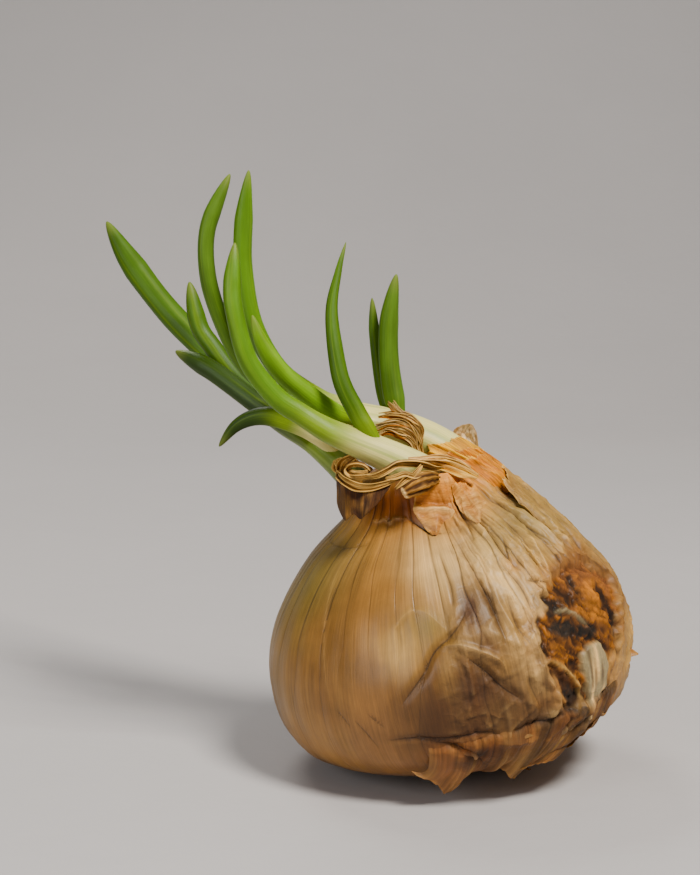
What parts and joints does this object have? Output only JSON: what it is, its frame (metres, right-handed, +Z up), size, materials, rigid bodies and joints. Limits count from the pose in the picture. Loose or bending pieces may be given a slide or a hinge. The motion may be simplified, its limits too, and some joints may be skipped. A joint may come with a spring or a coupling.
{
  "type": "sprouting onion",
  "caption": "Large yellow onion lying on its base with green leaves sprouting from its leaning neck, papery husks and torn skins round it.",
  "frame": {"origin": "on the flat spot that the bulb rests on, under its weight", "axes": "+Z up; +X towards the side away from the neck's lean; -Y towards the side with the torn outer skin's fold"},
  "size_m": [0.1364, 0.1044, 0.1483],
  "materials": {
    "bulb": "dry glossy onion skin, golden brown with darker veins",
    "root": "dry wiry roots",
    "shoot": "smooth cream to pale green sheath",
    "leaf": "smooth satin green leaf",
    "husk": "dry fibrous husk",
    "skin": "thin papery outer skin"
  },
  "bodies": {
    "root": {"bulb": "bulb", "root_plate": "root", "shaft_front": "shoot", "shaft_upper": "shoot", "shaft_back": "shoot", "leaf_front_main": "leaf", "leaf_front_inner": "leaf", "leaf_tall_right": "leaf", "leaf_inner_fold": "leaf", "leaf_tall_left": "leaf", "leaf_right_tall": "leaf", "leaf_right_short": "leaf", "leaf_back_wide": "leaf", "leaf_back_short": "leaf", "leaf_far": "leaf", "leaf_hooked": "leaf", "husk_collar": "husk", "husk_orange": "husk", "husk_tuft": "husk", "husk_wing": "husk", "outer_skin_right": "skin", "skin_flap_bottom": "skin", "skin_tip_front": "skin"}
  },
  "joints": []
}
